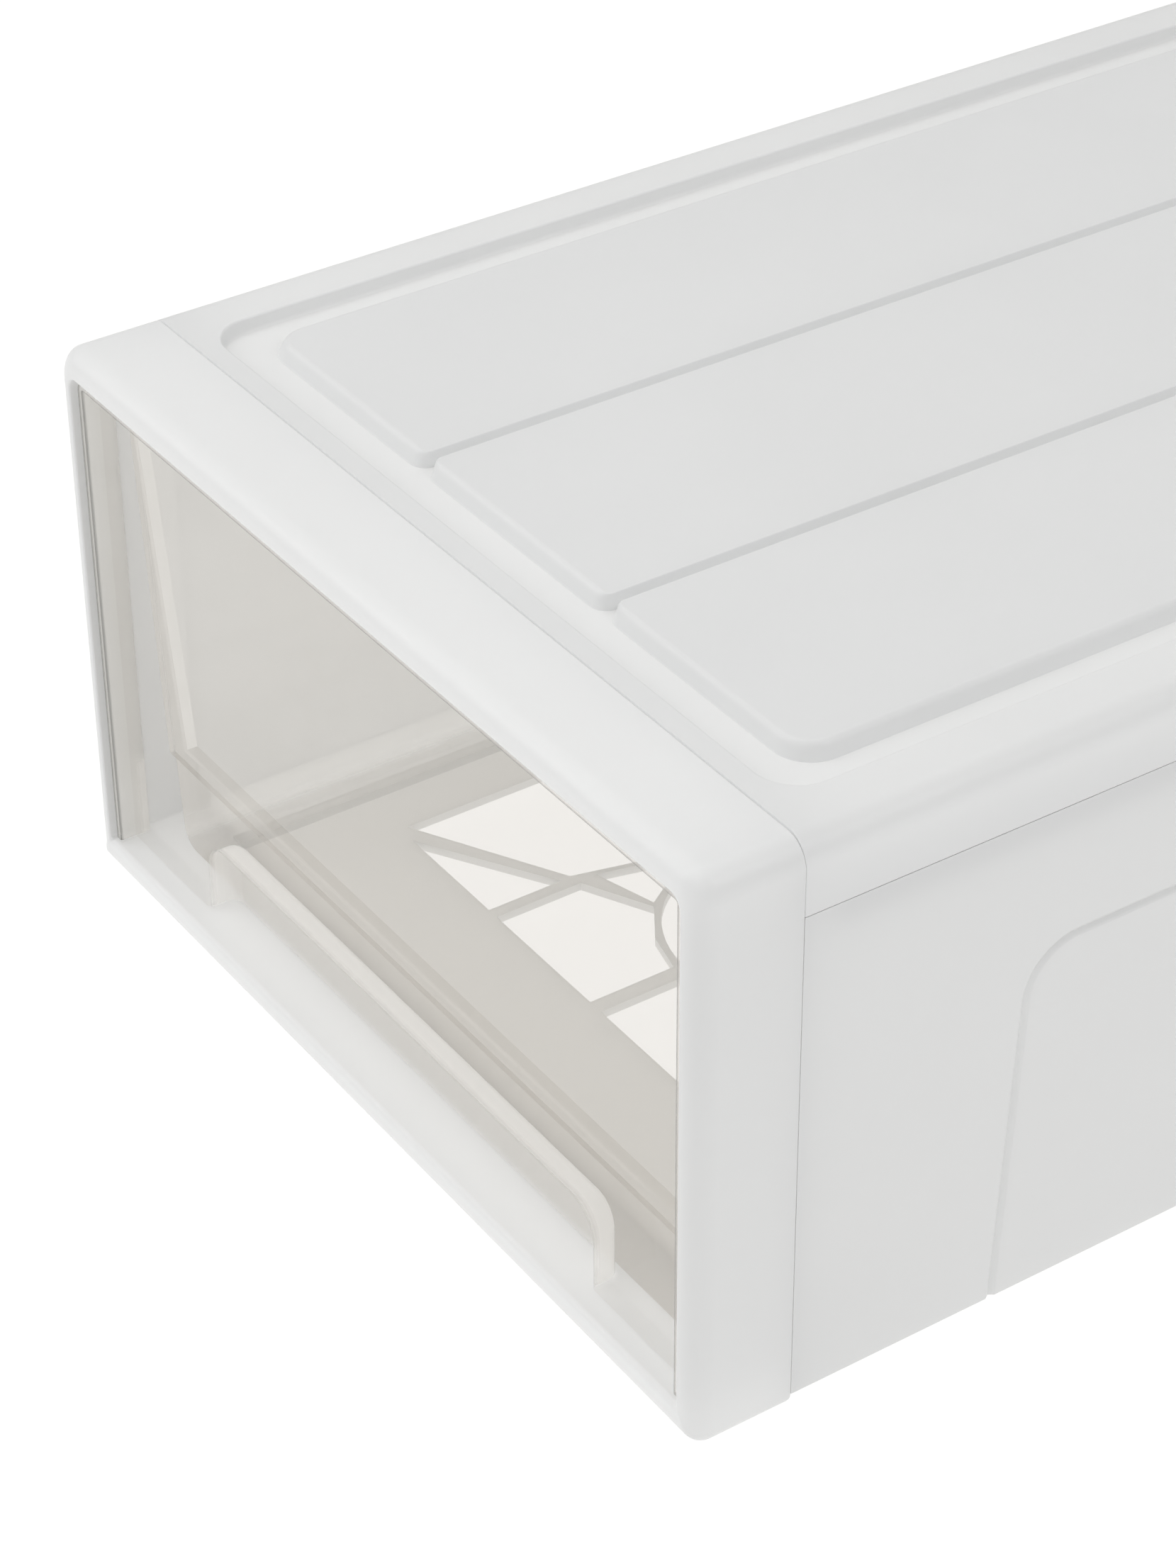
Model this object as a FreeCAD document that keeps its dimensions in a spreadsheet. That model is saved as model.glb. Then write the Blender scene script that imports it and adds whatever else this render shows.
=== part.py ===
import FreeCAD, Part
import os
import Sketcher

# A stacking shoe box with a pull-out drawer, in millimetres. +Z is up, the drawer opens towards -Y,
# and the origin is on the surface that the box stands on, under the middle of the box.

SIZES = {
    # Whole box
    "width": 230,
    "length": 340,
    "height": 130,
    "panel": 2.5,
    "outer_round": 5.5,
    "end_round": 4.9,
    # Front frame and rear panel
    "frame_depth": 22.8,
    "frame_wall": 5.5,
    "sill": 7,
    "opening_round": 3,
    "sill_round": 1.5,
    "seam_round": 0.3,
    "rear_depth": 12,
    "rear_wall": 2.5,
    # Top cover: a skirt over the sides, a sunk tray and three raised planks
    "skirt_base": 114.3,
    "cover_under": 124.2,
    "recess_half": 101.2,
    "recess_margin": 5.4,
    "recess_floor": 126.7,
    "recess_round": 9,
    "recess_lip": 0.8,
    "plank_half": 93.3,
    "plank_margin": 14.5,
    "plank_round": 8,
    "plank_inner_round": 3.5,
    "plank_edge": 1.8,
    "groove_centre": 31.7,
    "groove_half": 1.3,
    "plank_wall": 2.5,
    # Side panels with a shallow arch and a tongue under the skirt
    "panel_base": 2.5,
    "arch_start": 70.5,
    "arch_lean": 4.5,
    "arch_top": 84.5,
    "arch_round": 12,
    "arch_depth": 0.6,
    "tongue": 1.8,
    "tongue_gap": 0.2,
    "tongue_base": 110,
    "tongue_top": 120,
    "tongue_margin": 7,
    # Base panel: a flat grille with two guide rails
    "base_under": 3.5,
    "base_top": 5.5,
    "base_gap": 0.2,
    "cell_centre": 60,
    "ring_inner": 30.2,
    "spoke_half": 1.3,
    "rail_centre": 92.5,
    "rail_half": 1.5,
    "rail_top": 7.7,
    # Drawer front: a plate with a border, a ring behind it and a finger pull
    "front_half": 108.7,
    "front_base": 7.7,
    "front_top": 123.8,
    "front_round": 2.5,
    "front_face": 5.2,
    "front_plate": 2,
    "front_ring": 1.5,
    "ring_wall": 1.6,
    "border_front": 1.4,
    "border_wall": 1.4,
    "pull_half": 74,
    "pull_top": 25.9,
    "pull_round": 7.5,
    "pull_wall": 1.8,
    "pull_back": 13,
    "pull_back_round": 3,
    "pull_mouth_round": 0.9,
    # Drawer tray: drafted sides, a low front wall and a thick rim round its window
    "tray_front": 13,
    "tray_rear_gap": 7,
    "tray_base": 8,
    "tray_top": 118,
    "tray_half_base": 98,
    "tray_half_top": 107.8,
    "tray_wall": 1.8,
    "tray_floor": 2,
    "tray_round": 3,
    "window_half_base": 93.9,
    "window_half_top": 106.3,
    "window_base": 34.7,
    "rim_width": 4.7,
    "rim_depth": 1.2,
    "rim_round": 0.5,
    "lip_half": 108.9,
    "lip_height": 2.5,
}

AXES = {"x": FreeCAD.Vector(1, 0, 0), "y": FreeCAD.Vector(0, 1, 0), "z": FreeCAD.Vector(0, 0, 1)}

# For each sketch plane: its origin feature, and whether its normal points along its axis or against it.
PLANES = {"XY": ("XY_Plane", 1), "YZ": ("YZ_Plane", 1), "XZ": ("XZ_Plane", -1)}

# Places along the length that several pieces share
FRONT = "(-Sizes.length / 2)"
REAR = "(Sizes.length / 2)"
BODY_FRONT = f"({FRONT} + Sizes.frame_depth)"
BODY_REAR = f"({REAR} - Sizes.rear_depth)"


def make_sheet(doc):
    """The spreadsheet of driving sizes, one row each: name, value."""
    sheet = doc.addObject("Spreadsheet::Sheet", "Sizes")
    for row, (name, value) in enumerate(SIZES.items(), start=1):
        sheet.set(f"A{row}", name)
        sheet.set(f"B{row}", str(value))
        sheet.setAlias(f"B{row}", name)
    doc.recompute()
    return sheet


def add_loop(sketch, points):
    """Adds one closed outline whose corners are held at the (across, up) expressions in points."""
    corners = [[float(sketch.evalExpression(text)) for text in point] for point in points]
    first = sketch.GeometryCount
    count = len(corners)
    for i in range(count):
        start = FreeCAD.Vector(*corners[i], 0)
        end = FreeCAD.Vector(*corners[(i + 1) % count], 0)
        sketch.addGeometry(Part.LineSegment(start, end), False)
    for i in range(count):
        sketch.addConstraint(Sketcher.Constraint("Coincident", first + i, 2, first + (i + 1) % count, 1))
    for i, point in enumerate(points):
        for kind, text, value in zip(("DistanceX", "DistanceY"), point, corners[i]):
            name = f"{kind}_{first + i}"
            index = sketch.addConstraint(Sketcher.Constraint(kind, -1, 1, first + i, 1, value))
            sketch.renameConstraint(index, name)
            sketch.setExpression(f"Constraints.{name}", text)


def add_circle(sketch, across, up, radius):
    """Adds one circle held by expressions for its centre and radius."""
    centre = FreeCAD.Vector(*[float(sketch.evalExpression(text)) for text in (across, up)], 0)
    size = float(sketch.evalExpression(radius))
    index = sketch.addGeometry(Part.Circle(centre, FreeCAD.Vector(0, 0, 1), size), False)
    held = (
        ("DistanceX", (-1, 1, index, 3, centre.x), across),
        ("DistanceY", (-1, 1, index, 3, centre.y), up),
        ("Radius", (index, size), radius),
    )
    for kind, arguments, text in held:
        name = f"{kind}_{index}"
        place = sketch.addConstraint(Sketcher.Constraint(kind, *arguments))
        sketch.renameConstraint(place, name)
        sketch.setExpression(f"Constraints.{name}", text)


class Piece:
    """One sub-part: a body whose features each fill or cut an outline between two places on an axis."""

    def __init__(self, doc, label):
        self.doc = doc
        self.body = doc.addObject("PartDesign::Body", label)
        self.body.Label = label
        self.steps = 0

    def sketch(self, plane, offset, loops, circles=()):
        role, direction = PLANES[plane]
        support = next(part for part in self.body.Origin.OriginFeatures if part.Role == role)
        sketch = self.body.newObject("Sketcher::SketchObject", f"{self.body.Name}_sketch_{self.steps}")
        sketch.AttachmentSupport = [(support, "")]
        sketch.MapMode = "FlatFace"
        sketch.setExpression("AttachmentOffset.Base.z", f"{direction} * ({offset})")
        for points in loops:
            add_loop(sketch, points)
        for circle in circles:
            add_circle(sketch, *circle)
        return sketch

    def feature(self, kind, plane, offset, low, high, loops, circles=()):
        self.steps += 1
        sketch = self.sketch(plane, offset, loops, circles)
        feature = self.body.newObject(f"PartDesign::{kind}", f"{self.body.Name}_{kind}_{self.steps}")
        feature.Profile = sketch
        feature.setExpression("Length", f"({high}) - ({low})")
        self.doc.recompute()
        return feature

    def fill(self, plane, low, high, loops):
        """Adds material inside the outlines, from low to high along the plane's axis."""
        offset = low if PLANES[plane][1] > 0 else high
        self.feature("Pad", plane, offset, low, high, loops)

    def cut(self, plane, low, high, loops, circles=()):
        """Takes material away inside the outlines, from low to high along the plane's axis."""
        before = self.body.Shape.Volume
        offset = high if PLANES[plane][1] > 0 else low
        self.feature("Pocket", plane, offset, low, high, loops, circles)
        if self.body.Shape.Volume >= before:
            raise RuntimeError(f"{self.body.Label}: step {self.steps} cuts nothing")

    def round_edges(self, radius, wanted):
        """Rounds every edge of the body for which wanted(edge) is true."""
        self.steps += 1
        base = self.body.Tip
        names = [f"Edge{i}" for i, edge in enumerate(base.Shape.Edges, start=1) if wanted(edge)]
        if not names:
            raise RuntimeError(f"{self.body.Label}: step {self.steps} finds no edge to round")
        fillet = self.body.newObject("PartDesign::Fillet", f"{self.body.Name}_Fillet_{self.steps}")
        fillet.Base = (base, names)
        fillet.setExpression("Radius", radius)
        self.doc.recompute()


def rectangle(left, right, bottom, top):
    return [(left, bottom), (right, bottom), (right, top), (left, top)]


def value(doc, text):
    return float(doc.Sizes.evalExpression(text))


def runs_along(edge, axis):
    """True for a straight edge parallel to the named axis."""
    if edge.Curve.TypeId != "Part::GeomLine":
        return False
    return abs(edge.tangentAt(edge.FirstParameter) * AXES[axis]) > 0.999


def middle(edge):
    return edge.valueAt((edge.FirstParameter + edge.LastParameter) / 2)


def at(number, *places):
    """True if number is within a hundredth of a millimetre of one of the places."""
    return any(abs(number - place) < 0.01 for place in places)


def corner_edges(axis, across, up):
    """A test for straight edges along axis that stand at the places across and up on the other two axes."""
    first, second = [name for name in "xyz" if name != axis]

    def wanted(edge):
        point = middle(edge)
        in_place = at(getattr(point, first), *across) and at(getattr(point, second), *up)
        return runs_along(edge, axis) and in_place

    return wanted


def end_loop(place):
    """A test for edges that lie flat at one place along the length of the box."""
    def wanted(edge):
        return at(edge.BoundBox.YMin, place) and at(edge.BoundBox.YMax, place)

    return wanted


def outer_section():
    """The outline of the box seen from the front."""
    return rectangle("-Sizes.width / 2", "Sizes.width / 2", "0", "Sizes.height")


def opening_section():
    """The clear opening through the front frame."""
    side = "Sizes.width / 2 - Sizes.frame_wall"
    return rectangle(f"-({side})", side, "Sizes.sill", "Sizes.height - Sizes.frame_wall")


def round_long_edges(doc, piece):
    half = value(doc, "Sizes.width / 2")
    top = value(doc, "Sizes.height")
    piece.round_edges("Sizes.outer_round", corner_edges("y", (-half, half), (0, top)))


def round_opening(doc, piece, places=("Sizes.sill", "Sizes.height - Sizes.frame_wall")):
    half = value(doc, "Sizes.width / 2 - Sizes.frame_wall")
    heights = [value(doc, text) for text in places]
    piece.round_edges("Sizes.opening_round", corner_edges("y", (-half, half), heights))


def make_front_frame(doc):
    piece = Piece(doc, "front_frame")
    piece.fill("XZ", FRONT, BODY_FRONT, [outer_section()])
    round_long_edges(doc, piece)
    piece.round_edges("Sizes.end_round", end_loop(value(doc, FRONT)))
    piece.round_edges("Sizes.seam_round", end_loop(value(doc, BODY_FRONT)))
    piece.cut("XZ", FRONT, BODY_FRONT, [opening_section()])
    front = value(doc, FRONT)
    sill = value(doc, "Sizes.sill")
    piece.round_edges("Sizes.sill_round", corner_edges("x", (front,), (sill,)))
    round_opening(doc, piece, ["Sizes.height - Sizes.frame_wall"])
    return piece


def make_rear_panel(doc):
    piece = Piece(doc, "rear_panel")
    piece.fill("XZ", BODY_REAR, REAR, [outer_section()])
    round_long_edges(doc, piece)
    piece.round_edges("Sizes.end_round", end_loop(value(doc, REAR)))
    piece.round_edges("Sizes.seam_round", end_loop(value(doc, BODY_REAR)))
    piece.cut("XZ", BODY_REAR, f"{REAR} - Sizes.rear_wall", [opening_section()])
    round_opening(doc, piece)
    return piece


def plank_spans():
    """The left and right edges of the three raised planks."""
    inner = "Sizes.groove_centre - Sizes.groove_half"
    outer = "Sizes.groove_centre + Sizes.groove_half"
    return [
        ("-Sizes.plank_half", f"-({outer})"),
        (f"-({inner})", inner),
        (outer, "Sizes.plank_half"),
    ]


def make_top_cover(doc):
    piece = Piece(doc, "top_cover")
    half = value(doc, "Sizes.width / 2")
    top = value(doc, "Sizes.height")
    outline = rectangle("-Sizes.width / 2", "Sizes.width / 2", "Sizes.skirt_base", "Sizes.height")
    inside = "Sizes.width / 2 - Sizes.panel"
    piece.fill("XZ", BODY_FRONT, BODY_REAR, [outline])
    piece.round_edges("Sizes.outer_round", corner_edges("y", (-half, half), (top,)))
    piece.cut("XZ", BODY_FRONT, BODY_REAR,
              [rectangle(f"-({inside})", inside, "Sizes.skirt_base", "Sizes.cover_under")])

    recess_ends = (f"{BODY_FRONT} + Sizes.recess_margin", f"{BODY_REAR} - Sizes.recess_margin")
    piece.cut("XY", "Sizes.recess_floor", "Sizes.height",
              [rectangle("-Sizes.recess_half", "Sizes.recess_half", *recess_ends)])
    recess_half = value(doc, "Sizes.recess_half")
    recess_y = [value(doc, text) for text in recess_ends]
    piece.round_edges("Sizes.recess_round", corner_edges("z", (-recess_half, recess_half), recess_y))

    plank_ends = (f"{BODY_FRONT} + Sizes.plank_margin", f"{BODY_REAR} - Sizes.plank_margin")
    plank_y = [value(doc, text) for text in plank_ends]
    piece.fill("XY", "Sizes.recess_floor", "Sizes.height",
               [rectangle(left, right, *plank_ends) for left, right in plank_spans()])
    outer = value(doc, "Sizes.plank_half")
    piece.round_edges("Sizes.plank_round", corner_edges("z", (-outer, outer), plank_y))
    inner = [side * value(doc, f"Sizes.groove_centre + {step} * Sizes.groove_half")
             for side in (-1, 1) for step in (-1, 1)]
    piece.round_edges("Sizes.plank_inner_round", corner_edges("z", inner, plank_y))

    hollows = [rectangle(f"{left} + Sizes.plank_wall", f"{right} - Sizes.plank_wall",
                         f"{plank_ends[0]} + Sizes.plank_wall", f"{plank_ends[1]} - Sizes.plank_wall")
               for left, right in plank_spans()]
    piece.cut("XY", "Sizes.cover_under", "Sizes.height - Sizes.plank_wall", hollows)

    def on_top(edge):
        return at(edge.BoundBox.ZMin, top) and at(edge.BoundBox.ZMax, top)

    def within(edge, across, along):
        """True if the edge stays inside a rectangle centred on x = 0."""
        box = edge.BoundBox
        slack = 0.01
        return (max(abs(box.XMin), abs(box.XMax)) < across + slack
                and box.YMin > along[0] - slack and box.YMax < along[1] + slack)

    piece.round_edges("Sizes.plank_edge", lambda edge: on_top(edge) and within(edge, outer, plank_y))
    piece.round_edges("Sizes.recess_lip", lambda edge: on_top(edge) and within(edge, recess_half, recess_y)
                      and not within(edge, outer, plank_y))
    return piece


def make_side_panel(doc, label, side):
    """One side panel. side is 1 for the panel at +X and -1 for the one at -X."""
    piece = Piece(doc, label)
    outside = f"{side} * Sizes.width / 2"
    inside = f"{side} * (Sizes.width / 2 - Sizes.panel)"
    arch_inside = f"{side} * (Sizes.width / 2 - Sizes.arch_depth)"
    low, high = (inside, outside) if side > 0 else (outside, inside)
    piece.fill("YZ", low, high, [rectangle(BODY_FRONT, BODY_REAR, "Sizes.panel_base", "Sizes.skirt_base")])

    start = f"{FRONT} + Sizes.arch_start"
    end = f"{REAR} - Sizes.arch_start"
    arch = [
        (start, "Sizes.panel_base"),
        (end, "Sizes.panel_base"),
        (f"{end} - Sizes.arch_lean", "Sizes.arch_top"),
        (f"{start} + Sizes.arch_lean", "Sizes.arch_top"),
    ]
    low, high = (arch_inside, outside) if side > 0 else (outside, arch_inside)
    piece.cut("YZ", low, high, [arch])
    arch_ends = [value(doc, text) for text, _ in arch[2:]]
    arch_top = value(doc, "Sizes.arch_top")
    piece.round_edges("Sizes.arch_round", corner_edges("x", arch_ends, (arch_top,)))

    outer = "Sizes.width / 2 - Sizes.panel"
    inner = f"{outer} - Sizes.tongue - Sizes.tongue_gap"
    section = [
        (inner, "Sizes.tongue_base"),
        (outer, "Sizes.tongue_base"),
        (outer, "Sizes.skirt_base"),
        (f"{outer} - Sizes.tongue_gap", "Sizes.skirt_base"),
        (f"{outer} - Sizes.tongue_gap", "Sizes.tongue_top"),
        (inner, "Sizes.tongue_top"),
    ]
    section = [(f"{side} * ({across})", up) for across, up in section]
    piece.fill("XZ", f"{BODY_FRONT} + Sizes.tongue_margin", f"{BODY_REAR} - Sizes.tongue_margin", [section])
    return piece


# The grille's openings in one quarter of a cell, as (across, along) from the cell's centre. Across grows
# towards the side of the box, and along grows away from the centre.
GRILLE_QUARTER = [
    [(77.7, 51.9), (41.7, 32.3), (33.6, 1.3), (77.7, 1.3)],
    [(72.6, 53.7), (41.3, 53.7), (41.3, 34.9)],
    [(38.3, 53.7), (2, 53.7), (2, 32.2), (12.5, 29.7), (22, 23.4), (38.3, 31.7)],
    [(39, 27.2), (23.3, 22.6), (30.2, 11.8), (33.4, 5)],
]


def cut_grille_quarters(piece, cell):
    """Cuts the openings of one cell, the front one for cell = -1 or the rear one for cell = 1."""
    for across in (-1, 1):
        for along in (-1, 1):
            loops = [
                [(f"{across * x}", f"{cell} * Sizes.cell_centre + {along * y}") for x, y in opening]
                for opening in GRILLE_QUARTER
            ]
            piece.cut("XY", "Sizes.base_under", "Sizes.base_top", loops)


def make_grille_ring(piece, centre):
    """Opens the ring at the middle of a cell and lays two crossed spokes over it."""
    piece.cut("XY", "Sizes.base_under", "Sizes.base_top", [], [("0", centre, "Sizes.ring_inner")])
    reach = "(Sizes.ring_inner + Sizes.spoke_half)"
    half = "Sizes.spoke_half"
    spokes = (
        rectangle(f"-{reach}", reach, f"{centre} - {half}", f"{centre} + {half}"),
        rectangle(f"-{half}", half, f"{centre} - {reach}", f"{centre} + {reach}"),
    )
    for spoke in spokes:
        piece.fill("XY", "Sizes.base_under", "Sizes.base_top", [spoke])


def make_base_panel(doc):
    piece = Piece(doc, "base_panel")
    side = "(Sizes.width / 2 - Sizes.panel - Sizes.base_gap)"
    piece.fill("XY", "Sizes.base_under", "Sizes.base_top",
               [rectangle(f"-{side}", side, BODY_FRONT, BODY_REAR)])
    for cell in (-1, 1):
        cut_grille_quarters(piece, cell)
        make_grille_ring(piece, f"{cell} * Sizes.cell_centre")
    for side in (-1, 1):
        rail = f"{side} * Sizes.rail_centre"
        piece.fill("XY", "Sizes.base_top", "Sizes.rail_top",
                   [rectangle(f"{rail} - Sizes.rail_half", f"{rail} + Sizes.rail_half",
                              BODY_FRONT, f"{BODY_REAR} - Sizes.tongue_margin")])
    return piece


def make_finger_pull(doc, piece, face):
    """The hollow behind the drawer front's plate, open downwards and to the front, with its wall."""
    back = f"{FRONT} + Sizes.pull_back"
    outer = "(Sizes.pull_half + Sizes.pull_wall)"
    outer_top = "Sizes.pull_top + Sizes.pull_wall"
    piece.fill("XZ", face, back, [rectangle(f"-{outer}", outer, "Sizes.front_base", outer_top)])
    piece.cut("XZ", face, f"{back} - Sizes.pull_wall",
              [rectangle("-Sizes.pull_half", "Sizes.pull_half", "Sizes.front_base", "Sizes.pull_top")])

    inner_half = value(doc, "Sizes.pull_half")
    inner_top = value(doc, "Sizes.pull_top")
    inner_corners = corner_edges("y", (-inner_half, inner_half), (inner_top,))
    piece.round_edges("Sizes.pull_round", inner_corners)
    outer_half = value(doc, outer)
    outer_corners = corner_edges("y", (-outer_half, outer_half), (value(doc, outer_top),))
    piece.round_edges("Sizes.pull_round + Sizes.pull_wall", outer_corners)

    base = value(doc, "Sizes.front_base")
    at_back = end_loop(value(doc, back))
    piece.round_edges("Sizes.pull_back_round", lambda edge: at_back(edge) and edge.BoundBox.ZMax > base + 1)

    at_face = end_loop(value(doc, face))

    def mouth(edge):
        box = edge.BoundBox
        inside = at_face(edge) and max(abs(box.XMin), abs(box.XMax)) < inner_half + 0.01
        return inside and box.ZMax > base + 1 and box.ZMax < inner_top + 0.01

    piece.round_edges("Sizes.pull_mouth_round", mouth)


def make_drawer_front(doc):
    piece = Piece(doc, "drawer_front")
    face = f"{FRONT} + Sizes.front_face"
    plate_back = f"{face} + Sizes.front_plate"
    ring_back = f"{plate_back} + Sizes.front_ring"
    piece.fill("XZ", face, ring_back,
               [rectangle("-Sizes.front_half", "Sizes.front_half", "Sizes.front_base", "Sizes.front_top")])
    ring_half = "(Sizes.front_half - Sizes.ring_wall)"
    piece.cut("XZ", plate_back, ring_back,
              [rectangle(f"-{ring_half}", ring_half, "Sizes.front_base + Sizes.ring_wall",
                         "Sizes.front_top - Sizes.ring_wall")])
    border_half = "(Sizes.front_half - Sizes.border_wall)"
    border = [
        ("-Sizes.front_half", "Sizes.front_base"),
        (f"-{border_half}", "Sizes.front_base"),
        (f"-{border_half}", "Sizes.front_top - Sizes.border_wall"),
        (border_half, "Sizes.front_top - Sizes.border_wall"),
        (border_half, "Sizes.front_base"),
        ("Sizes.front_half", "Sizes.front_base"),
        ("Sizes.front_half", "Sizes.front_top"),
        ("-Sizes.front_half", "Sizes.front_top"),
    ]
    piece.fill("XZ", f"{FRONT} + Sizes.border_front", face, [border])
    half = value(doc, "Sizes.front_half")
    heights = (value(doc, "Sizes.front_base"), value(doc, "Sizes.front_top"))
    piece.round_edges("Sizes.front_round", corner_edges("y", (-half, half), heights))
    make_finger_pull(doc, piece, face)
    return piece


def tray_half_at(level):
    """The tray's outer half width at a height, on its drafted side."""
    slope = "(Sizes.tray_half_top - Sizes.tray_half_base) / (Sizes.tray_top - Sizes.tray_base)"
    return f"(Sizes.tray_half_base + {slope} * ({level} - Sizes.tray_base))"


def make_drawer_tray(doc):
    piece = Piece(doc, "drawer_tray")
    front = f"{FRONT} + Sizes.tray_front"
    rear = f"{REAR} - Sizes.tray_rear_gap"
    outline = [
        ("-Sizes.tray_half_base", "Sizes.tray_base"),
        ("Sizes.tray_half_base", "Sizes.tray_base"),
        ("Sizes.tray_half_top", "Sizes.tray_top"),
        ("-Sizes.tray_half_top", "Sizes.tray_top"),
    ]
    piece.fill("XZ", front, rear, [outline])
    base_half = value(doc, "Sizes.tray_half_base")
    piece.round_edges("Sizes.tray_round + Sizes.tray_wall",
                      corner_edges("y", (-base_half, base_half), (value(doc, "Sizes.tray_base"),)))
    floor = "Sizes.tray_base + Sizes.tray_floor"
    floor_half = f"{tray_half_at(floor)} - Sizes.tray_wall"
    hollow = [
        (f"-({floor_half})", floor),
        (floor_half, floor),
        ("Sizes.tray_half_top - Sizes.tray_wall", "Sizes.tray_top"),
        ("-(Sizes.tray_half_top - Sizes.tray_wall)", "Sizes.tray_top"),
    ]
    piece.cut("XZ", f"{front} + Sizes.tray_wall", f"{rear} - Sizes.tray_wall", [hollow])
    inner_half = value(doc, floor_half)
    inner_corners = corner_edges("y", (-inner_half, inner_half), (value(doc, floor),))
    piece.round_edges("Sizes.tray_round", inner_corners)

    window = [
        ("-Sizes.window_half_base", "Sizes.window_base"),
        ("Sizes.window_half_base", "Sizes.window_base"),
        ("Sizes.window_half_top", "Sizes.tray_top"),
        ("-Sizes.window_half_top", "Sizes.tray_top"),
    ]
    piece.cut("XZ", front, f"{front} + Sizes.tray_wall", [window])
    rim_base = "Sizes.window_base - Sizes.rim_width"
    rim_half = tray_half_at(rim_base)
    rim = [
        (f"-{rim_half}", rim_base),
        (rim_half, rim_base),
        ("Sizes.tray_half_top", "Sizes.tray_top"),
        ("Sizes.window_half_top", "Sizes.tray_top"),
        ("Sizes.window_half_base", "Sizes.window_base"),
        ("-Sizes.window_half_base", "Sizes.window_base"),
        ("-Sizes.window_half_top", "Sizes.tray_top"),
        ("-Sizes.tray_half_top", "Sizes.tray_top"),
    ]
    rim_front = f"{front} - Sizes.rim_depth"
    piece.fill("XZ", rim_front, front, [rim])
    piece.round_edges("Sizes.rim_round", end_loop(value(doc, rim_front)))

    lip_base = "Sizes.tray_top - Sizes.lip_height"
    for side in (-1, 1):
        inner = f"{side} * (Sizes.tray_half_top - Sizes.tray_wall / 2)"
        outer = f"{side} * Sizes.lip_half"
        piece.fill("XZ", f"{front} + Sizes.tray_wall", rear,
                   [rectangle(inner, outer, lip_base, "Sizes.tray_top")])
    return piece


def check(doc, pieces):
    """Stops if any object failed, or a sub-part is not one valid solid."""
    for thing in doc.Objects:
        if "Invalid" in thing.State or "Error" in thing.State:
            raise RuntimeError(f"{thing.Label} failed: {thing.State}")
    for piece in pieces:
        shape = piece.body.Shape
        if shape.isNull() or not shape.isValid() or len(shape.Solids) != 1:
            raise RuntimeError(f"{piece.body.Label} is not one valid solid")


def export(pieces):
    os.makedirs("parts", exist_ok=True)
    for piece in pieces:
        shape = piece.body.Shape
        box = shape.BoundBox
        shape.exportStep(f"parts/{piece.body.Label}.step")
        print(f"{piece.body.Label}: volume {shape.Volume / 1000:.1f} cm3, "
              f"x {box.XMin:.1f} to {box.XMax:.1f}, y {box.YMin:.1f} to {box.YMax:.1f}, "
              f"z {box.ZMin:.1f} to {box.ZMax:.1f}")


def main():
    doc = FreeCAD.newDocument("shoe_box")
    make_sheet(doc)
    pieces = [
        make_front_frame(doc),
        make_rear_panel(doc),
        make_top_cover(doc),
        make_side_panel(doc, "left_side_panel", -1),
        make_side_panel(doc, "right_side_panel", 1),
        make_base_panel(doc),
        make_drawer_front(doc),
        make_drawer_tray(doc),
    ]
    doc.recompute()
    check(doc, pieces)
    export(pieces)


main()
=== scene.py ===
import math

import bmesh
import bpy
from mathutils import Euler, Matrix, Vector


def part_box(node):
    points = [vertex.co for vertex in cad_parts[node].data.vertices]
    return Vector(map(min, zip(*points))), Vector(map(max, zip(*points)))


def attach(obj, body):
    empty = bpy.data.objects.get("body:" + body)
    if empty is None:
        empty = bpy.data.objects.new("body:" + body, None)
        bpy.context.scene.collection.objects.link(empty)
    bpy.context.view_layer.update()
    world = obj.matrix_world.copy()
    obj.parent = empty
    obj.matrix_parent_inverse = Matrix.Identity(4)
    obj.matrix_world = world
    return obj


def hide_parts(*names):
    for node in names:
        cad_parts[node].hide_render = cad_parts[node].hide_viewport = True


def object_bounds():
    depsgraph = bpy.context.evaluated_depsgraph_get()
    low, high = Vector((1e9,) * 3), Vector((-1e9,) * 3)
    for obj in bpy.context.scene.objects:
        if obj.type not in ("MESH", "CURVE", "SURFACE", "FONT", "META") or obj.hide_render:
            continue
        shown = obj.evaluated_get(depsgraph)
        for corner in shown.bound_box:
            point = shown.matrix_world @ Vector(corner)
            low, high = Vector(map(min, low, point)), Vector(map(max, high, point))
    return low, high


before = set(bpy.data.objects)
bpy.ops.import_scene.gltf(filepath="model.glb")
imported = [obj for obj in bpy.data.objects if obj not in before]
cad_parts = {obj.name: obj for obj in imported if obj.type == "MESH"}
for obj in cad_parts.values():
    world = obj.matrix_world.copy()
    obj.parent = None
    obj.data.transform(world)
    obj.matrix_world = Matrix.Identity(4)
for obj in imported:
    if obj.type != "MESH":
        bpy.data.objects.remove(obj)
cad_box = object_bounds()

# A stacking shoe box with a clear pull-out drawer. Every length below is in metres.

MM = 0.001
ARC_STEPS = 10
SEAM_ROUND = 0.35 * MM
SMALLEST_ROUND = 0.2 * MM

# The case
BOX_LOW, BOX_HIGH = [Vector(corner) for corner in cad_box]
FRAME_LOW, FRAME_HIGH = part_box("front_frame")
COVER_LOW, COVER_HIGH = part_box("top_cover")
SIDE_LOW, SIDE_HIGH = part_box("right_side_panel")
REAR_LOW, REAR_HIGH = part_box("rear_panel")
TOP = BOX_HIGH.z
HALF_WIDTH = BOX_HIGH.x
CASE_ROUND = 5.5 * MM
FRAME_WALL = 5.5 * MM
SILL = 7 * MM
SILL_ROUND = 1.5 * MM
FOOT_ROUND = 2 * MM
PANEL = 2.5 * MM

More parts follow.
